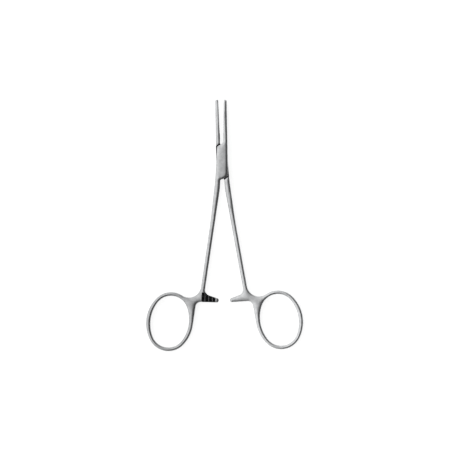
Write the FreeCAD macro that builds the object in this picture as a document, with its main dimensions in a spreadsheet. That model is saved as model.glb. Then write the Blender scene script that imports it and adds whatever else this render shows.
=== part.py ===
# Hemostat forceps, straight, 125 mm: two forged arms crossing in a box lock, held by one pin.
# Millimetres. Seen from the front: +Y towards the jaws, +X to the right, +Z towards the viewer.
# The pin's axis is the Z axis and the rear face of the lock rests on z = 0.
import FreeCAD, Part
import Sketcher
import math
import os

V = FreeCAD.Vector
doc = FreeCAD.newDocument("hemostat")
sheet = doc.addObject("Spreadsheet::Sheet", "sizes")

# Driving dimensions
SIZES = [
    ("lock_thick", 4.0, "thickness of the lock, front face to rear face"),
    ("lock_half", 2.9, "half the width of the lock"),
    ("lock_side", 1.0, "plain side of the lock above and below the pin's middle"),
    ("cheek_top", 8.38, "upper end of the cheeks beside the jaw, from the pin"),
    ("cheek_shoulder", 7.35, "upper end of the cheeks at the lock's side, from the pin"),
    ("cheek_foot", 8.85, "lower end of the cheeks beside the shank, from the pin"),
    ("cheek_corner", 7.3, "lower end of the cheeks at the lock's side, from the pin"),
    ("cheek_across", 0.95, "where the cheek's upper end meets the jaw, from the centre line"),
    ("cheek_inset", 0.3, "how far the cheek's upper corner stands in from the lock's side"),
    ("cheek_beside", 0.3, "where the cheek's lower end meets the shank, from the centre line"),
    ("wall_top", 8.85, "inner end of the window's wall, from the pin"),
    ("wall_across", 0.25, "inner end of the window's wall, from the centre line"),
    ("crotch_down", 11.0, "crotch between the shanks, from the pin"),
    ("crotch_across", 0.6, "inner edge of the shank at the crotch, from the centre line"),
    ("crotch_round", 0.85, "plan radius of the crotch"),
    ("handle_thick", 3.0, "thickness of shanks, webs and finger rings"),
    ("edge_round", 0.88, "rounding of all the long edges"),
    ("edge_break", 0.25, "chamfer of the edges of the jaw faces and of the lock's end faces"),
    ("back_down", 3.0, "where the jaw's back leaves the lock's side, below the pin"),
    ("jaw_tip", 30.7, "jaw tips, from the pin"),
    ("jaw_heel", 12.3, "heel of the jaw faces, from the pin"),
    ("tip_width", 1.58, "width of one jaw just behind its tip"),
    ("tip_thick", 1.9, "thickness of the jaws at the tip"),
    ("tip_corner", 0.95, "plan radius of the tip's back corner"),
    ("heel_width", 2.07, "width of one jaw at its heel"),
    ("heel_round", 1.5, "plan radius where a jaw's face meets the lock"),
    ("heel_gap", 0.26, "gap from the centre line to a jaw face at the heel, jaws closed"),
    ("tooth_pitch", 0.8, "pitch of the cross serrations"),
    ("tooth_depth", 0.2, "depth of the cross serrations"),
    ("tooth_gap", 0.1, "gap between meshed serrations at the tips"),
    ("tongue_thick", 1.4, "thickness of the tongue that runs through the lock"),
    ("tongue_gap", 0.05, "running gap between the tongue and each cheek"),
    ("window_gap", 0.1, "gap between the tongue's end faces and the window"),
    ("shoulder_gap", 0.35, "gap between cheeks and shoulders, jaws closed"),
    ("pin_width", 2.0, "diameter of the lock's pin"),
    ("pin_gap", 0.03, "running clearance of the pin in the tongue, on the radius"),
    ("full_up", 12.0, "upper end of the lock's full thickness, from the pin"),
    ("full_down", 13.0, "lower end of the lock's full thickness, from the pin"),
    ("thin_down", 26.0, "where the shanks reach their own thickness, from the pin"),
    ("rest_open", 5.2, "angle between the arms as they lie, degrees"),
    ("open_most", 60.0, "angle between the arms when the tongue meets the window, degrees"),
    ("shank_top", 6.5, "upper end of the shank's outer side, from the pin"),
    ("shank_run", 27.0, "length of the straight lower shank"),
    ("shank_low", 58.0, "lower end of the plain shank, from the pin"),
    ("shank_thin", 2.2, "width of the shank at its lower end"),
    ("shank_lean", 6.7, "lean of the lower shank, degrees"),
    ("web_hollow", 6.05, "plan radius of the hollow between shank and ring"),
    ("shank_out", 6.95, "middle of the shank at its lower end, from the centre line"),
    ("ring_across", 23.6, "middle of a finger ring, from the centre line"),
    ("ring_down", 80.1, "middle of a finger ring, from the pin"),
    ("ring_lean", 6.7, "lean of a finger ring, degrees"),
    ("ring_long", 25.7, "opening of a finger ring, long way"),
    ("ring_wide", 19.0, "opening of a finger ring, short way"),
    ("ring_flat", 0.04, "flat left between the roundings of the ring's wire at its ends"),
    ("ring_side", 0.35, "how much wider the ring's wire is at its sides"),
    ("bar_rise", 10.2, "lower edge of the ratchet bar, above the middle of the ring"),
    ("bar_nose", 1.05, "plan radius of the ratchet bar's nose"),
    ("bar_reach", 0.35, "how far the ratchet bar passes the centre line"),
    ("bar_slope", 17.0, "slope of the ratchet bar's upper edge, degrees"),
    ("bar_root", 8.0, "start of the ratchet bar's halved part, from the centre line"),
    ("bar_halved", 4.7, "height of the ratchet bar's halved part"),
    ("bar_hollow", 3.0, "plan radius between the shank and the ratchet bar"),
    ("bar_foot", 2.6, "plan radius between the ratchet bar and the web's flank"),
    ("bar_lead", 1.6, "plain nose of the ratchet bar ahead of its first tooth"),
    ("bar_pitch", 1.85, "pitch of the ratchet teeth"),
    ("bar_tooth", 0.55, "height of the ratchet teeth"),
    ("bar_gap", 0.05, "gap from a ratchet tooth's crest to the middle plane"),
    ("bar_teeth", 3, "number of ratchet teeth on each bar"),
]
for row, (alias, value, note) in enumerate(SIZES, start=1):
    sheet.set("A%d" % row, note)
    sheet.set("B%d" % row, str(value))
    sheet.setAlias("B%d" % row, alias)
doc.recompute()


def size(alias):
    return float(sheet.get(alias))


# Points and directions used by the outlines
def polar(angle):
    return V(math.cos(math.radians(angle)), math.sin(math.radians(angle)), 0)


def line(start, end):
    return Part.LineSegment(start, end)


def cross(point_a, way_a, point_b, way_b):
    # where two lines meet
    gap = point_b - point_a
    along = (gap.x * way_b.y - gap.y * way_b.x) / (way_a.x * way_b.y - way_a.y * way_b.x)
    return point_a + way_a * along


def corner(before, vertex, after, radius):
    # start, middle and end of the arc that rounds a corner
    way_in = (before - vertex).normalize()
    way_out = (after - vertex).normalize()
    half_angle = way_in.getAngle(way_out) / 2
    reach = radius / math.tan(half_angle)
    dip = radius / math.sin(half_angle) - radius
    inward = (way_in + way_out).normalize()
    return [vertex + way_in * reach, vertex + inward * dip, vertex + way_out * reach]


def arc(points):
    return Part.Arc(*points)


def run(start, corners, end):
    # straight stretches joined by rounded corners, each given as a vertex and a radius
    vertices = [start] + [vertex for vertex, radius in corners] + [end]
    curves = []
    here = start
    for number, (vertex, radius) in enumerate(corners, start=1):
        bend = corner(vertices[number - 1], vertex, vertices[number + 1], radius)
        curves += [line(here, bend[0]), arc(bend)]
        here = bend[2]
    return curves + [line(here, end)]


# Helpers that add features to a body
def plane(body, role):
    for feature in body.Origin.OriginFeatures:
        if feature.Role == role:
            return feature


def add_sketch(body, name, role, curves):
    sketch = body.newObject("Sketcher::SketchObject", name)
    sketch.AttachmentSupport = [(plane(body, role), "")]
    sketch.MapMode = "FlatFace"
    for curve in curves:
        sketch.addGeometry(curve, False)
    return sketch


def loop(points):
    return [line(a, b) for a, b in zip(points, points[1:] + points[:1])]


def add_feature(body, kind, name, sketch, **bound):
    feature = body.newObject("PartDesign::" + kind, name)
    feature.Profile = sketch
    for prop, formula in bound.items():
        if isinstance(formula, str):
            feature.setExpression(prop, formula)
        else:
            setattr(feature, prop, formula)
    return feature


def middle(edge):
    return edge.valueAt((edge.FirstParameter + edge.LastParameter) / 2)


def fold(shape, edge):
    # angle between the two faces that meet at an edge's middle, degrees
    spot = middle(edge)
    normals = []
    for face in shape.ancestorsOfType(edge, Part.Face):
        along, across = face.Surface.parameter(spot)
        normals.append(face.normalAt(along, across))
    if len(normals) < 2:
        return 0
    return math.degrees(normals[0].getAngle(normals[1]))


def cut_edges(body, name, chosen, formula):
    doc.recompute()
    base = body.Tip
    names = []
    for number, edge in enumerate(base.Shape.Edges, start=1):
        if chosen(base.Shape, edge):
            names.append("Edge%d" % number)
    feature = body.newObject("PartDesign::Chamfer", name)
    feature.Base = (base, names)
    feature.setExpression("Size", formula)
    return feature


def round_edges(body, name, chosen):
    # a round edge ground in three facets: first its middle, then both corners that this leaves
    cut_edges(body, name + "_middle", lambda shape, edge: chosen(edge), "sizes.edge_round * 0.586")
    cut_edges(body, name + "_corners", lambda shape, edge: chosen(edge) and 35 < fold(shape, edge) < 55,
              "sizes.edge_round * 0.215")


# Shared places on both arms, each in its own closed position: jaw to the right, ring to the left
half = size("lock_half")
tip_y = size("jaw_tip")
heel_y = size("jaw_heel")
meet = (size("tooth_depth") - size("tooth_gap")) / 2
face_tip = V(-meet, tip_y, 0)
face_heel = V(size("heel_gap"), heel_y, 0)
face_way = (face_heel - face_tip).normalize()
stop_y = half * math.tan(math.radians(size("open_most") + 1) / 2)
wall_in = V(half, stop_y, 0)
wall_out = V(-size("wall_across"), size("wall_top"), 0)
wall_way = (wall_out - wall_in).normalize()
cheek_top = [V(-size("cheek_across"), size("cheek_top"), 0),
             V(size("cheek_inset") - half, size("cheek_shoulder"), 0)]
cheek_low = [V(size("cheek_beside"), -size("cheek_foot"), 0), V(half, -size("cheek_corner"), 0)]
crotch = V(-size("crotch_across"), -size("crotch_down"), 0)
past_lock = (size("cheek_foot") + size("crotch_down")) / 2

ring_mid = V(-size("ring_across"), -size("ring_down"), 0)
ring_up = polar(90 - size("ring_lean"))
ring_in = polar(-size("ring_lean"))
wire_end = 2 * size("edge_round") + size("ring_flat")
hole_long = size("ring_long") / 2
hole_wide = size("ring_wide") / 2
rim_long = hole_long + wire_end
rim_wide = hole_wide + wire_end + size("ring_side")
hole_end = 0.88 * hole_wide
end_shift = hole_long - hole_end
rim_end = rim_long - end_shift


def oval(long_half, wide_half, end_radius):
    # an oval of four arcs round the ring's middle: where its arcs join, its ends and its sides
    shift = long_half - end_radius
    side_radius = (shift ** 2 + wide_half ** 2 - end_radius ** 2) / (2 * (wide_half - end_radius))
    joint_way = (ring_in * (side_radius - wide_half) + ring_up * shift).normalize()
    joint = ring_up * shift + joint_way * end_radius
    along = joint.dot(ring_in)
    rise = joint.dot(ring_up)
    joints = [ring_mid + ring_in * (along * i) + ring_up * (rise * j) for i, j in ((1, 1), (-1, 1), (-1, -1), (1, -1))]
    tips = [ring_mid + way for way in (ring_up * long_half, ring_in * -wide_half, ring_up * -long_half,
                                       ring_in * wide_half)]
    return joints, tips


def rim_between(joint, side):
    # middle of the rim's arc between a joint and the side nearest to it
    other = joint + ring_up * (2 * (side - joint).dot(ring_up))
    full = Part.Arc(joint, side, other)
    return full.value(full.FirstParameter + 0.25 * (full.LastParameter - full.FirstParameter))


# Lower half of an arm, from the lock's outer side round the shank, web, ring and ratchet bar to the crotch
def handle_edge(start, end):
    low_way = polar(-90 - size("shank_lean"))
    out_way = V(low_way.y, -low_way.x, 0)
    low = V(-size("shank_out"), -size("shank_low"), 0)
    outer_low = low + out_way * (size("shank_thin") / 2)
    inner_low = low - out_way * (size("shank_thin") / 2)
    outer_bend = outer_low - low_way * size("shank_run")
    outer_top = V(start.x, -size("shank_top"), 0)
    inner_top = cross(inner_low, low_way, end, V(0, 1, 0))

    # web: one hollow arc that leaves the shank and lands on the ring's rim
    hollow = size("web_hollow")
    crown = ring_mid + ring_up * end_shift
    beside = outer_low + out_way * hollow - crown
    along = beside.dot(low_way)
    lead = -along - math.sqrt(along ** 2 - beside.dot(beside) + (rim_end + hollow) ** 2)
    hollow_mid = crown + beside + low_way * lead
    hollow_start = hollow_mid - out_way * hollow
    hollow_end = crown + (hollow_mid - crown).normalize() * rim_end
    hollow_deep = hollow_mid + ((hollow_start + hollow_end) * 0.5 - hollow_mid).normalize() * hollow
    shank = run(start, [(outer_top, 100), (outer_bend, 400)], hollow_start)

    # ring: its rim, from the web over the crown, outside and foot to the flank
    joints, tips = oval(rim_long, rim_wide, rim_end)
    crown_mid = crown + ((hollow_end + joints[1]) * 0.5 - crown).normalize() * rim_end
    flank = tips[3]
    side_mid = rim_between(joints[3], flank)
    rim = [arc([hollow_end, crown_mid, joints[1]]), arc([joints[1], tips[1], joints[2]]),
           arc([joints[2], tips[2], joints[3]]), arc([joints[3], side_mid, flank])]

    # flank of the web, then lower edge, nose and upper edge of the ratchet bar
    bar_low = size("bar_rise") - size("ring_down")
    nose = size("bar_nose")
    foot = cross(flank, ring_up, V(0, bar_low, 0), V(1, 0, 0))
    nose_mid = V(size("bar_reach") - nose, bar_low + nose, 0)
    nose_low = nose_mid + V(0, -nose, 0)
    nose_top = nose_mid + polar(90 - size("bar_slope")) * nose
    nose_end = nose_mid + polar(-size("bar_slope") / 2) * nose
    root = cross(inner_low, low_way, nose_top, polar(180 - size("bar_slope")))
    bar = run(flank, [(foot, size("bar_foot"))], nose_low) + [arc([nose_low, nose_end, nose_top])]
    inner = run(nose_top, [(root, size("bar_hollow")), (inner_top, 40)], end)
    return shank + [arc([hollow_start, hollow_deep, hollow_end])] + rim + bar + inner


# Upper half of an arm: the jaw's back, tip and face
def jaw_edge(start):
    tip_back = V(size("tip_width") - meet, tip_y - size("tip_corner"), 0)
    heel_back = V(size("heel_gap") + size("heel_width"), heel_y, 0)
    back_way = (tip_back - heel_back).normalize()
    back_foot = cross(heel_back, back_way, start, V(0, 1, 0))
    back_top = cross(tip_back, back_way, V(0, tip_y, 0), V(1, 0, 0))
    return run(start, [(back_foot, 90), (back_top, size("tip_corner"))], face_tip)


# Side profile shared by both arms: lock at full thickness, jaws and shanks thinner
def relief():
    full = size("lock_thick") / 2
    thin = size("handle_thick") / 2
    tip = size("tip_thick") / 2
    clear = full + 3
    past_tip = tip_y + 1
    past_ring = -size("ring_down") - rim_long - 5
    curves = []
    for side in (1, -1):
        top = [V(past_tip, tip * side, 0), V(size("full_up"), full * side, 0), V(-size("full_down"), full * side, 0),
               V(-size("thin_down"), thin * side, 0), V(past_ring, thin * side, 0)]
        curves += run(top[0], [(top[1], 100), (top[2], 120), (top[3], 120)], top[4])
        outer = [V(past_ring, clear * side, 0), V(past_tip, clear * side, 0)]
        curves += [line(top[4], outer[0]), line(outer[0], outer[1]), line(outer[1], top[0])]
    return curves


# Which edges of a blank are rounded
def on_rim(edge):
    # an edge between a front or rear face and a side, not an upright and not a seam across a face
    box = edge.BoundBox
    seam = box.YLength < 0.001 and box.YMax < tip_y - 0.001
    return not seam and abs(middle(edge).z) > size("tip_thick") / 2 - 0.03


def across_lock(edge):
    spot = middle(edge)
    return on_rim(edge) and abs(spot.x) < 0.85 * half and abs(spot.y) < past_lock


def on_cheek_end(edge):
    spot = middle(edge)
    return across_lock(edge) and abs(spot.y) > 0.95 * size("cheek_corner") and spot.x * spot.y < 0


def on_face(edge):
    spot = middle(edge)
    return on_rim(edge) and past_lock < spot.y < tip_y - 0.001 and spot.x < size("heel_width") / 4


def on_long_side(edge):
    return on_rim(edge) and not across_lock(edge) and not on_face(edge)


# Forging: both arms start from the same blank, the second one turned over
def forge(name):
    side_top = V(-half, size("lock_side"), 0)
    side_low = V(-half, -size("lock_side"), 0)
    back_start = V(half, -size("back_down"), 0)
    heel = cross(face_heel, face_way, cheek_top[0], cheek_top[1] - cheek_top[0])
    outline = (
        run(face_tip, [(heel, size("heel_round"))], cheek_top[1]) + [line(cheek_top[1], side_top), line(side_top, side_low)]
        + handle_edge(side_low, crotch)
        + run(crotch, [(V(crotch.x, cheek_low[0].y, 0), size("crotch_round"))], cheek_low[0])
        + [line(cheek_low[0], cheek_low[1]), line(cheek_low[1], back_start)]
        + jaw_edge(back_start))
    joints, tips = oval(hole_long, hole_wide, hole_end)
    hole = [arc([joints[i - 1], tips[i - 1], joints[i]]) for i in range(1, 4)]
    hole.append(arc([joints[3], tips[3], joints[0]]))
    body = doc.addObject("PartDesign::Body", name)
    body.Label = name
    plan = add_sketch(body, name + "_plan", "XY_Plane", outline + hole)
    add_feature(body, "Pad", name + "_blank", plan, Length="sizes.lock_thick", Midplane=True)
    side = add_sketch(body, name + "_side", "YZ_Plane", relief())
    add_feature(body, "Pocket", name + "_relief", side, Midplane=True, Length=200.0)
    round_edges(body, name + "_rounds", on_long_side)
    cut_edges(body, name + "_breaks", lambda shape, edge: (on_cheek_end(edge) or on_face(edge))
              and fold(shape, edge) > 60, "sizes.edge_break")
    return body


# Ratchet: the bar is halved in thickness and the halved face gets saw teeth
def add_ratchet(body):
    below = size("bar_rise") - size("ring_down") - 1
    above = below + 1 + size("bar_halved")
    past_nose = size("bar_reach") + 1
    halved = [V(-size("bar_root"), above, 0), V(-size("bar_root"), below, 0), V(past_nose, below, 0),
              V(past_nose, above, 0)]
    plan = add_sketch(body, body.Name + "_halved", "XY_Plane", loop(halved))
    plan.setExpression("AttachmentOffset.Base.z", "-sizes.bar_gap")
    add_feature(body, "Pocket", body.Name + "_halving", plan, Length="sizes.lock_thick", Reversed=True)

    crest = -size("bar_gap")
    start = size("bar_reach") - size("bar_lead") - size("bar_teeth") * size("bar_pitch")
    end = start + size("bar_pitch")
    clear = crest + 0.2
    notch = [V(start + 0.15, crest, 0), V(end, crest - size("bar_tooth"), 0), V(end, clear, 0), V(start + 0.15, clear, 0)]
    saw = add_sketch(body, body.Name + "_saw", "XZ_Plane", loop(notch))
    saw.setExpression("AttachmentOffset.Base.z", "sizes.ring_down - sizes.bar_rise - sizes.bar_halved")
    cut = add_feature(body, "Pocket", body.Name + "_notch", saw, Reversed=True,
                      Length="sizes.bar_halved + 1")
    row = body.newObject("PartDesign::LinearPattern", body.Name + "_notches")
    row.Originals = [cut]
    row.Direction = (saw, ["H_Axis"])
    row.setExpression("Length", "(sizes.bar_teeth - 1) * sizes.bar_pitch")
    row.setExpression("Occurrences", "sizes.bar_teeth")
    body.Tip = row


# Jaw face: a row of cross serrations, set half a pitch apart on the two arms so that they mesh
def add_serrations(body, shift):
    pitch = size("tooth_pitch")
    inward = V(-face_way.y, face_way.x, 0)
    first = face_tip + face_way * (shift * pitch)
    land = 0.05
    notch = [first + face_way * land - inward * 0.1, first + face_way * land,
             first + face_way * (pitch / 2) + inward * size("tooth_depth"),
             first + face_way * (pitch - land), first + face_way * (pitch - land) - inward * 0.1]
    plan = add_sketch(body, body.Name + "_serration", "XY_Plane", loop(notch))
    plan.addGeometry(line(face_tip, face_heel), True)
    cut = add_feature(body, "Pocket", body.Name + "_serrate", plan, Midplane=True, Length="sizes.lock_thick + 1")
    row = body.newObject("PartDesign::LinearPattern", body.Name + "_serrations")
    row.Originals = [cut]
    row.Direction = (plan, ["Axis0"])
    row.setExpression("Length", "(floor((sizes.jaw_tip - sizes.jaw_heel - 0.9) / sizes.tooth_pitch) - 1) * sizes.tooth_pitch")
    row.setExpression("Occurrences", "floor((sizes.jaw_tip - sizes.jaw_heel - 0.9) / sizes.tooth_pitch)")
    body.Tip = row


# Round hole on the pin's axis
def add_bore(body, formula):
    plan = add_sketch(body, body.Name + "_bore_plan", "XY_Plane", [Part.Circle(V(0, 0, 0), V(0, 0, 1), size("pin_width") / 2)])
    plan.addConstraint(Sketcher.Constraint("Radius", 0, size("pin_width") / 2))
    plan.addConstraint(Sketcher.Constraint("Coincident", 0, 3, -1, 1))
    plan.setExpression("Constraints[0]", formula)
    add_feature(body, "Pocket", body.Name + "_bore", plan, Midplane=True, Length="sizes.lock_thick + 1")


# Box arm: the member whose two cheeks enclose the other arm's tongue
box_arm = forge("box_arm")

# window through the box: open at both sides, closed by a slanting wall towards the jaw and one towards the shank
beyond = wall_out + wall_way * 0.7
window = [beyond, wall_in, V(half + 3, stop_y, 0), V(half + 3, -beyond.y, 0),
          beyond * -1, wall_in * -1, V(-half - 3, -stop_y, 0), V(-half - 3, beyond.y, 0)]
window_plan = add_sketch(box_arm, "box_arm_window", "XY_Plane", loop(window))
add_feature(box_arm, "Pocket", "box_arm_slot", window_plan, Midplane=True,
            Length="sizes.tongue_thick + 2 * sizes.tongue_gap")
add_bore(box_arm, "sizes.pin_width / 2")
add_ratchet(box_arm)
add_serrations(box_arm, -0.5)

# Tongue arm: the member that runs through the box; drawn like the box arm, jaw to the right, then turned over
def flip(point):
    return V(-point.x, point.y, 0)


inset = V(-wall_way.y, wall_way.x, 0) * size("window_gap")
tongue_in = flip(cross(wall_in + inset, wall_way, V(half, 0, 0), V(0, 1, 0)))
tongue_way = flip(wall_way)
heel_low = cross(tongue_in, tongue_way, V(0.5, 0, 0), V(0, 1, 0))
crotch_top = cross(tongue_in * -1, tongue_way, crotch, V(0, 1, 0))
top_side = tongue_in - tongue_way * 3
low_side = top_side * -1
heel_top = V(0.25, heel_y - 0.3, 0)
crotch_low = crotch + V(0, 0.4, 0)
tongue_arm = forge("tongue_arm")

# tongue: both end faces are cut back along the walls of the box arm's window
ends = (loop([heel_top, heel_low, top_side, V(top_side.x, heel_top.y, 0)])
        + loop([crotch_low, crotch_top, low_side, V(low_side.x, crotch_low.y, 0)]))
end_plan = add_sketch(tongue_arm, "tongue_arm_ends", "XY_Plane", ends)
add_feature(tongue_arm, "Pocket", "tongue_arm_trim", end_plan, Midplane=True, Length="sizes.lock_thick + 1")

# shoulders: front and rear are cut down to the tongue wherever the cheeks lie or pass
top_a, top_b = flip(cheek_top[0]), flip(cheek_top[1])
low_a, low_b = flip(cheek_low[0]), flip(cheek_low[1])
top_way = (top_b - top_a).normalize()
low_way = (low_b - low_a).normalize()
top_gap = V(-top_way.y, top_way.x, 0) * size("shoulder_gap")
low_gap = V(-low_way.y, low_way.x, 0) * size("shoulder_gap")
top_start = top_a + top_gap
top_end = top_b + top_gap + top_way * 3
low_start = low_a + low_gap - low_way
low_end = low_b + low_gap + low_way * 3
heel_end = V(0.3, 10.4, 0)
heel_turn = cross(top_start, top_way, heel_end, V(0, 1, 0))
shoulders = run(top_end, [(heel_turn, 1.5)], heel_end)
outside = [heel_end, V(-6, heel_end.y, 0), V(-6, low_end.y, 0), low_end, low_start,
           V(top_end.x, low_start.y, 0), top_end]
shoulders += [line(a, b) for a, b in zip(outside, outside[1:])]
shoulder_plan = add_sketch(tongue_arm, "tongue_arm_shoulders", "XY_Plane", shoulders)
shoulder_plan.setExpression("AttachmentOffset.Base.z", "sizes.tongue_thick / 2")
front_cut = add_feature(tongue_arm, "Pocket", "tongue_arm_front", shoulder_plan,
                        Length="sizes.lock_thick", Reversed=True)
both_cuts = tongue_arm.newObject("PartDesign::Mirrored", "tongue_arm_rear")
both_cuts.Originals = [front_cut]
both_cuts.MirrorPlane = (plane(tongue_arm, "XY_Plane"), [""])
tongue_arm.Tip = both_cuts
add_bore(tongue_arm, "sizes.pin_width / 2 + sizes.pin_gap")
add_ratchet(tongue_arm)
add_serrations(tongue_arm, 0)

# Lock pin: riveted through both cheeks and ground flush with them
lock_pin = doc.addObject("PartDesign::Body", "lock_pin")
lock_pin.Label = "lock_pin"
pin_plan = add_sketch(lock_pin, "lock_pin_plan", "XY_Plane", [Part.Circle(V(0, 0, 0), V(0, 0, 1), size("pin_width") / 2)])
pin_plan.addConstraint(Sketcher.Constraint("Radius", 0, size("pin_width") / 2))
pin_plan.addConstraint(Sketcher.Constraint("Coincident", 0, 3, -1, 1))
pin_plan.setExpression("Constraints[0]", "sizes.pin_width / 2")
add_feature(lock_pin, "Pad", "lock_pin_shaft", pin_plan, Midplane=True, Length="sizes.lock_thick")

# The arms as they lie, opened about the pin, the tongue arm turned over
raised = "create(<<vector>>; 0; 0; sizes.lock_thick / 2)"
turn = "create(<<rotation>>; create(<<vector>>; 0; 0; 1); %s)"
over = " * create(<<placement>>; create(<<vector>>; 0; 0; 0); create(<<rotation>>; create(<<vector>>; 0; 1; 0); 180))"
place = "create(<<placement>>; " + raised + "; " + turn + ")"
box_arm.setExpression("Placement", place % "-sizes.rest_open / 2")
tongue_arm.setExpression("Placement", place % "sizes.rest_open / 2" + over)
lock_pin.setExpression("Placement", place % "-sizes.rest_open / 2")
doc.recompute()

# Check and export
for item in doc.Objects:
    if "Invalid" in item.State or "Error" in item.State:
        raise ValueError(item.Name + " did not build")
os.makedirs("parts", exist_ok=True)
for body in (box_arm, tongue_arm, lock_pin):
    shape = body.Shape
    if shape.isNull() or not shape.isValid() or len(shape.Solids) != 1:
        raise ValueError(body.Name + " is not one sound solid")
    shape.exportStep("parts/" + body.Label + ".step")
    print(body.Label, round(shape.Volume, 2), len(shape.Faces))
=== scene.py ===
import math

import bpy
import bmesh
import numpy as np
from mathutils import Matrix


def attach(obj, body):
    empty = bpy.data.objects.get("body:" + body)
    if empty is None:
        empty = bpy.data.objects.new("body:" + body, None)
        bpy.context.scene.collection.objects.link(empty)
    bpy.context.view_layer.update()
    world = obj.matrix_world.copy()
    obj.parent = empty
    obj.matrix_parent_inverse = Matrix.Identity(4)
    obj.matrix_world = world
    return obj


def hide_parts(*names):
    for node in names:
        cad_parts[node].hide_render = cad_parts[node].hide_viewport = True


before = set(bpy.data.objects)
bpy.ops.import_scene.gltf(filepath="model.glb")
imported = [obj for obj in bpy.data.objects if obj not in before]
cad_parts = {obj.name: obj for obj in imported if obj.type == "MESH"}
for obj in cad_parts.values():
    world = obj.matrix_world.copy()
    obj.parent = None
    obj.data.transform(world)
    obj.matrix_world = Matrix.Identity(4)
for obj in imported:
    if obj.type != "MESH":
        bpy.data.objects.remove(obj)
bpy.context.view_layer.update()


# Box arm
# One of the two drop-forged arms, of martensitic stainless steel. Its two cheeks close round the other arm.
# Its edges are ground round by hand, which leaves every flat a little crowned, and it is tumbled to a satin.
weld_gap = 0.000002
broken_edge = 0.00005
level_within = math.radians(0.4)
sharp_from = math.radians(40)
smooth_up_to = math.radians(34)


def steel_arm(node_name, piece_name):
    # the forging as one skin
    bpy.ops.object.select_all(action="DESELECT")
    piece = bpy.data.objects.new(piece_name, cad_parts[node_name].data.copy())
    bpy.context.scene.collection.objects.link(piece)
    bpy.context.view_layer.objects.active = piece
    piece.select_set(True)
    bpy.ops.object.mode_set(mode="EDIT")
    bpy.ops.mesh.select_all(action="SELECT")
    bpy.ops.mesh.remove_doubles(threshold=weld_gap)
    bpy.ops.mesh.customdata_custom_splitnormals_clear()
    bpy.ops.mesh.dissolve_limited(angle_limit=level_within)
    bpy.ops.mesh.normals_make_consistent(inside=False)
    crown_flats(piece)

    # every sharp edge broken as tumbling leaves it
    bpy.ops.object.mode_set(mode="OBJECT")
    edges = piece.modifiers.new("broken_edges", "BEVEL")
    edges.limit_method = "ANGLE"
    edges.angle_limit = sharp_from
    edges.width = broken_edge
    edges.segments = 2
    edges.use_clamp_overlap = True
    bpy.ops.object.modifier_apply(modifier="broken_edges")
    bpy.ops.object.shade_smooth_by_angle(angle=smooth_up_to)
    return piece


# height of the plane midway between front and rear; the tongue and the ratchet's recess lie closer to it
# than the flats do
lock_middle = 0.002
recess_level = 0.0009
level_normal = 0.985


def is_flat(face):
    # front or rear face of the arm, not the tongue and not the ratchet's recess
    height = abs(face.calc_center_median().z - lock_middle)
    return abs(face.normal.z) > level_normal and height > recess_level


def grid_lines(first, spacing, count):
    return [first + spacing * step for step in range(count)]


# the grid reaches over the whole arm, and is finer over the lock and the jaws
open_spacing = 0.0009
lines_across = grid_lines(-0.0385, open_spacing, 86) + grid_lines(-0.0045, 0.00022, 42)
lines_along = grid_lines(-0.0930, open_spacing, 138) + grid_lines(-0.0110, 0.0003, 84)
clear_of_line = 0.00002
handle_top = -0.027
line_inside_border = 0.00018


def cut_grid(piece):
    # the flats are cut into a grid, close round the lock and jaws and open on the handle
    bpy.ops.mesh.select_all(action="DESELECT")
    mesh = bmesh.from_edit_mesh(piece.data)
    for face in mesh.faces:
        face.select_set(is_flat(face))
    bpy.ops.mesh.quads_convert_to_tris(quad_method="BEAUTY", ngon_method="BEAUTY")

    # a line close inside the border of the handle, so that the narrow wire of the ring can be crowned too
    bpy.ops.mesh.select_all(action="DESELECT")
    mesh = bmesh.from_edit_mesh(piece.data)
    for face in mesh.faces:
        lowest = min(corner.co.y for corner in face.verts)
        face.select_set(is_flat(face) and lowest < handle_top)
    bpy.ops.mesh.inset(thickness=line_inside_border, use_boundary=True)

    for axis, places in ((0, lines_across), (1, lines_along)):
        for place in places:
            spot = [0, 0, 0]
            way = [0, 0, 0]
            spot[axis] = place
            way[axis] = 1
            mesh = bmesh.from_edit_mesh(piece.data)
            crossed = False
            for face in mesh.faces:
                reach = [corner.co[axis] for corner in face.verts]
                spans = min(reach) < place - clear_of_line and max(reach) > place + clear_of_line
                cut = spans and is_flat(face)
                face.select_set(cut)
                crossed = crossed or cut
            if crossed:
                bpy.ops.mesh.bisect(plane_co=spot, plane_no=way)
    mesh = bmesh.from_edit_mesh(piece.data)
    for face in mesh.faces:
        face.select_set(is_flat(face))
    bpy.ops.mesh.tris_convert_to_quads()


# edges that fold further than this, in radians, are sharp corners; the slanting shoulders lie between these
# two distances from the pin
sharp_fold = 1
shoulder_slant = 0.4
shoulder_near, shoulder_far = 0.005, 0.013


def border(mesh, least, most):
    # the edges where a flat meets what lies beside it, least and most being how far they fold in radians;
    # of the sharp ones, only the slanting shoulders
    starts, ends, outward = [], [], []
    for edge in mesh.edges:
        if len(edge.link_faces) != 2 or not least < edge.calc_face_angle() < most:
            continue
        slant = abs(edge.verts[0].co.x - edge.verts[1].co.x) / edge.calc_length()
        shoulder = slant > shoulder_slant and shoulder_near < abs(edge.verts[0].co.y) < shoulder_far
        if edge.calc_face_angle() > sharp_fold and not shoulder:
            continue
        flats = [face for face in edge.link_faces if is_flat(face)]
        if len(flats) == 1:
            beside = [face for face in edge.link_faces if face is not flats[0]][0]
            starts.append(edge.verts[0].co[:])
            ends.append(edge.verts[1].co[:])
            outward.append(beside.normal[:2])
    return np.array(starts), np.array(ends), np.array(outward)


# a border on the other side of the arm counts as this far away; a point beyond the border counts as on it
# within border_reach
far_away = 1
border_reach = 0.0009


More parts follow.
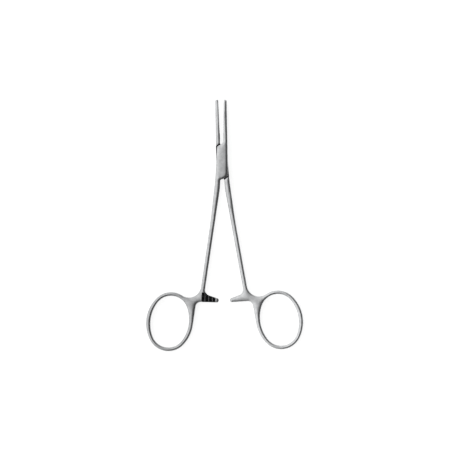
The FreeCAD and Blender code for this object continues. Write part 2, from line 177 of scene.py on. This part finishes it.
def depth_inside(spot, lines, front):
    # how far a point lies inside the nearest border, and how far below it; far_away where no border is near
    starts, ends, outward = lines
    spans = ends - starts
    share = ((spot - starts)[:, :2] * spans[:, :2]).sum(1) / np.maximum((spans[:, :2] ** 2).sum(1), 1e-18)
    nearest = starts + spans * np.clip(share, 0, 1)[:, None]
    gap = (spot - nearest)[:, :2]
    other_side = np.where((starts[:, 2] > lock_middle) == front, 0, far_away)
    reach = np.hypot(gap[:, 0], gap[:, 1]) + other_side
    pick = int(reach.argmin())
    below = abs(nearest[pick][2] - lock_middle) - abs(spot[2] - lock_middle)
    if (gap[pick] * outward[pick]).sum() < 0:
        return reach[pick], below
    return (0, below) if reach[pick] < border_reach else (far_away, below)


# the crown falls by crown_height over crown_width, and then by roll_slope times the width of the roll
crown_height, crown_width = 0.00015, 0.0020
roll_slope = 0.13
roll_on_lock, more_on_handle = 0.0006, 0.0004
edge_fall, edge_width = 0.00020, 0.0006
more_edge_on_lock = 0.7

# depth below the border at which a side stands straight, and within which a point is still on the flat
side_depth = 0.00088
on_flat = 0.00005

# distances from the pin at which the handle's roll starts to widen and the lock's finish ends, and the lengths
# over which they blend
handle_from, handle_blend = 0.013, 0.009
lock_to, lock_blend, edge_blend = 0.022, 0.009, 0.010


def share_of(value):
    return min(1, max(0, value))


def fade(distance, width):
    return max(0, 1 - distance / width)


def crown_flats(piece):
    # flats fall off gently and then faster to the rounded edges, and quickly to jaw faces, cheek ends and
    # shoulders; on the handle the crown rises from the border, which keeps the thin wire's outline
    cut_grid(piece)
    mesh = bmesh.from_edit_mesh(piece.data)
    mesh.normal_update()
    rounded = border(mesh, least=0.10, most=0.60)
    broken = border(mesh, least=0.60, most=1.80)
    for corner in mesh.verts:
        spot = np.array(corner.co)
        front = spot[2] > lock_middle
        inside, below = depth_inside(spot, rounded, front)
        on_handle = share_of((-spot[1] - handle_from) / handle_blend)
        near = roll_on_lock + more_on_handle * on_handle
        fall = crown_height * fade(inside, crown_width) ** 2 + roll_slope * near * fade(inside, near) ** 2
        on_lock = share_of((lock_to - abs(spot[1])) / lock_blend)
        rise = crown_height + roll_slope * near - fall if below < on_flat else 0
        drop = 0
        if inside < far_away:
            drop = fall * on_lock * fade(max(0, below), side_depth) - rise * (1 - on_lock)
        inside, below = depth_inside(spot, broken, front)
        larger = 1 + more_edge_on_lock * share_of((lock_to - abs(spot[1])) / edge_blend)
        drop += (edge_fall * larger * fade(inside, edge_width * larger) ** 2
                 * fade(max(0, below), side_depth))
        if front:
            corner.co.z -= drop
        else:
            corner.co.z += drop
    bmesh.update_edit_mesh(piece.data)


def colour(text):
    # an sRGB hex value as the linear colour that a shader takes
    shares = [int(text[i:i + 2], 16) / 255 for i in (1, 3, 5)]
    return [share / 12.92 if share <= 0.04045 else ((share + 0.055) / 1.055) ** 2.4 for share in shares] + [1]


def node(tree, kind, inputs=None, **settings):
    # adds one node, sets its fields and gives its sockets their values or links
    added = tree.nodes.new("ShaderNode" + kind)
    for field, value in settings.items():
        setattr(added, field, value)
    for socket, value in (inputs or {}).items():
        if isinstance(value, bpy.types.NodeSocket):
            tree.links.new(value, added.inputs[socket])
        else:
            added.inputs[socket].default_value = value
    return added


box_arm = steel_arm("box_arm", "box_arm_forging")

# Satin stainless steel: a cool pale grey metal, so finely scratched that it shows broad soft shades
# instead of reflections. The satin's own scratches are 0.05 mm wide; drawn here 0.2 mm wide so that they show.
# The base colour is painted darker on the left handle and lighter on the right one, as painted shade and
# painted light.
satin = bpy.data.materials.new("satin_stainless_steel")
satin.use_nodes = True
tree = satin.node_tree
tree.nodes.clear()
place = node(tree, "TexCoord").outputs["Object"]
stretched = node(tree, "Mapping", {"Vector": place, "Scale": (5000, 260, 5000)}).outputs["Vector"]
scratches = node(tree, "TexNoise", {"Vector": stretched, "Scale": 1.0, "Detail": 3.0,
                                    "Roughness": 0.6}).outputs["Fac"]
clouds = node(tree, "TexNoise", {"Vector": place, "Scale": 600.0, "Detail": 4.0,
                                 "Roughness": 0.6}).outputs["Fac"]
tone = node(tree, "ValToRGB", {"Fac": clouds})
tone.color_ramp.elements[0].position = 0.3
tone.color_ramp.elements[0].color = colour("#bebfc0")
tone.color_ramp.elements[1].position = 0.7
tone.color_ramp.elements[1].color = colour("#d5d6d7")
dull = node(tree, "MapRange", {"Value": scratches, "From Min": 0.3, "From Max": 0.7,
                               "To Min": 0.28, "To Max": 0.36})
ridges = node(tree, "Bump", {"Height": scratches, "Strength": 0.12, "Distance": 0.00003})
# painted shade and painted light: the colour is scaled from 0.80 on the left to 1.08 on the right
aside = node(tree, "SeparateXYZ", {"Vector": place}).outputs["X"]
painted_side_shade = node(tree, "MapRange", {"Value": aside, "From Min": -0.02, "From Max": 0.02,
                                "To Min": 0.80, "To Max": 1.08})
tone = node(tree, "VectorMath", {0: tone.outputs["Color"], "Scale": painted_side_shade.outputs["Result"]},
            operation="SCALE")
steel = node(tree, "BsdfPrincipled", {"Base Color": tone.outputs["Vector"], "Metallic": 1.0,
                                      "Roughness": dull.outputs["Result"], "Normal": ridges.outputs["Normal"]})
node(tree, "OutputMaterial", {"Surface": steel.outputs["BSDF"]})

# Milled stainless steel inside the lock and in the ratchet: left as cut, out of reach of the polishing belt,
# so it stays rough; its colour is painted near black, as painted shade in these recesses and gaps.
# Cutter marks 0.3 mm apart. The crests are drawn a lighter grey in a thin band at their height.
milled_painted_dark = bpy.data.materials.new("milled_steel_painted_dark")
milled_painted_dark.use_nodes = True
tree = milled_painted_dark.node_tree
tree.nodes.clear()
place = node(tree, "TexCoord").outputs["Object"]
cuts = node(tree, "TexWave", {"Vector": place, "Scale": 1000.0, "Distortion": 2.0, "Detail": 2.0},
            bands_direction="X")
# painted shade: a random mottle between two near-black greys
painted_shade_mottle = node(tree, "TexNoise", {"Vector": place, "Scale": 900.0, "Detail": 4.0})
tone = node(tree, "ValToRGB", {"Fac": painted_shade_mottle.outputs["Fac"]})
tone.color_ramp.elements[0].position = 0.35
tone.color_ramp.elements[0].color = colour("#161617")
tone.color_ramp.elements[1].position = 0.65
tone.color_ramp.elements[1].color = colour("#3a3a3c")
height = node(tree, "SeparateXYZ", {"Vector": place}).outputs["Z"]
level = node(tree, "Math", {0: height, 1: lock_middle}, operation="SUBTRACT").outputs[0]
level = node(tree, "Math", {0: level}, operation="ABSOLUTE").outputs[0]
crest_level, crest_band = 0.0001, 0.00004
# the crests are drawn lighter than the painted shade below them
lighter_crests = node(tree, "Math", {0: level, 1: crest_level, 2: crest_band}, operation="COMPARE").outputs[0]
tone = node(tree, "MixRGB", {"Fac": lighter_crests, "Color1": tone.outputs["Color"], "Color2": colour("#8f8f91")})
ridges = node(tree, "Bump", {"Height": cuts.outputs["Fac"], "Strength": 0.3, "Distance": 0.00002})
steel = node(tree, "BsdfPrincipled", {"Base Color": tone.outputs["Color"], "Metallic": 1.0, "Roughness": 0.42,
                                      "Normal": ridges.outputs["Normal"]})
node(tree, "OutputMaterial", {"Surface": steel.outputs["BSDF"]})


# the lock's inside, the ratchet bar's teeth and its nose, in the arm's own directions: along it from the pin,
# across it from its middle line, less than 0 on its handle's side, and up from the middle plane
lock_inside, tongue_half = 0.0094, 0.00077
ratchet_low, ratchet_high = -0.0705, -0.0645
teeth_root, teeth_end = -0.0082, -0.0012
teeth_bottom, teeth_top = -0.0009, 0.0001
facing_up = 0.2
nose_low, nose_start, nose_bottom = -0.0720, -0.0011, -0.0008
nose_slope = math.tan(math.radians(17))


def finish_arm(piece, turn, toothed):
    # satin all over, and milled steel painted near black as shade in the recesses on the tongue, in the window
    # and on the toothed side of the ratchet, whose nose slopes away to lead the other bar in; toothed is 1
    # where the teeth face up, and -1 where down
    piece.data.materials.clear()
    piece.data.materials.append(satin)
    piece.data.materials.append(milled_painted_dark)
    for face in piece.data.polygons:
        along = face.center.y * math.cos(turn) - face.center.x * math.sin(turn)
        across = face.center.x * math.cos(turn) + face.center.y * math.sin(turn)
        level = face.center.z - lock_middle
        in_lock = abs(along) < lock_inside and abs(level) < tongue_half
        on_bar = ratchet_low < along < ratchet_high and teeth_root < across * toothed < teeth_end
        on_teeth = teeth_bottom < level * toothed < teeth_top and face.normal.z * toothed > facing_up
        # faces in the lock and on the teeth take the milled steel painted dark as shade
        face.material_index = 1 if in_lock or (on_bar and on_teeth) else 0
    for corner in piece.data.vertices:
        along = corner.co.y * math.cos(turn) - corner.co.x * math.sin(turn)
        across = corner.co.x * math.cos(turn) + corner.co.y * math.sin(turn)
        ahead = across * toothed - nose_start
        level = (corner.co.z - lock_middle) * toothed
        if nose_low < along < ratchet_high and ahead > 0 and level > nose_bottom:
            corner.co.z -= toothed * ahead * nose_slope


half_open = math.radians(2.6)
finish_arm(box_arm, -half_open, toothed=1)
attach(box_arm, "box_member")
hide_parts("box_arm")


# Tongue arm
# The other arm, from the same forging, turned over and thinned in the middle to the tongue that runs through
# the box. Same steel and same finish.
tongue_arm = steel_arm("tongue_arm", "tongue_arm_forging")
finish_arm(tongue_arm, half_open, toothed=-1)
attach(tongue_arm, "tongue_member")
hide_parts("tongue_arm")


# Lock pin
# A hard stainless pin, pressed through both cheeks, riveted over and ground flush, so that only a faint ring
# shows where it is.
lock_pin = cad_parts["lock_pin"]
for index in range(len(lock_pin.material_slots)):
    lock_pin.material_slots[index].material = satin


# Table and light
# White paper under the instrument, in a room that is light on its upper left and dim on its lower right.
# The room gives all the light; the paper shines only where it is seen or mirrored.
bpy.ops.object.select_all(action="DESELECT")
bpy.ops.mesh.primitive_plane_add(size=6, location=(0, 0, -0.0002))
table = bpy.context.object
table.name = "table"
paper = bpy.data.materials.new("white_paper")
paper.use_nodes = True
tree = paper.node_tree
tree.nodes.clear()
rays = node(tree, "LightPath")
seen = node(tree, "Math", {0: rays.outputs["Is Camera Ray"], 1: rays.outputs["Is Glossy Ray"]},
            operation="MAXIMUM")
seen = node(tree, "Math", {0: seen.outputs[0], 1: rays.outputs["Is Transmission Ray"]},
            operation="MAXIMUM")
sheet = node(tree, "BsdfDiffuse", {"Color": colour("#b4b4b4")})
glow = node(tree, "Emission", {"Strength": 0.8})
bright = node(tree, "AddShader", {0: sheet.outputs[0], 1: glow.outputs[0]})
either = node(tree, "MixShader", {0: seen.outputs[0], 1: sheet.outputs[0], 2: bright.outputs[0]})
node(tree, "OutputMaterial", {"Surface": either.outputs[0]})
table.data.materials.append(paper)

# the room: white walls on the left, falling off overhead to black cloth on the right
room = bpy.data.worlds.new("room")
bpy.context.scene.world = room
room.use_nodes = True
tree = room.node_tree
tree.nodes.clear()
way = node(tree, "TexCoord").outputs["Generated"]
white_walls = (-0.87, 0.34, 0.36)
facing = node(tree, "VectorMath", {0: way, 1: white_walls}, operation="DOT_PRODUCT").outputs["Value"]
facing = node(tree, "MapRange", {"Value": facing, "From Min": -1.0}).outputs[0]
walls = node(tree, "ValToRGB", {"Fac": facing})
walls.color_ramp.interpolation = "EASE"
stops = walls.color_ramp.elements
stops[0].position, stops[0].color = 0.40, (0.07, 0.07, 0.07, 1)
stops[1].position, stops[1].color = 0.86, (1.15, 1.15, 1.15, 1)
middle_stop = stops.new(0.66)
middle_stop.color = (0.78, 0.78, 0.78, 1)
light = node(tree, "Background", {"Color": walls.outputs["Color"]})
node(tree, "OutputWorld", {"Surface": light.outputs[0]})


# Camera
# Straight above the instrument, as in the photograph, with a long lens, turned by under a degree.
lens = bpy.data.cameras.new("camera")
lens.lens = 200
lens.sensor_width = 36
camera = bpy.data.objects.new("camera", lens)
camera.location = (0.00096, -0.0315, 1.241)
camera.rotation_euler = (0, 0, math.radians(-0.95))
bpy.context.scene.collection.objects.link(camera)
bpy.context.scene.camera = camera
bpy.context.scene.view_settings.view_transform = "Standard"
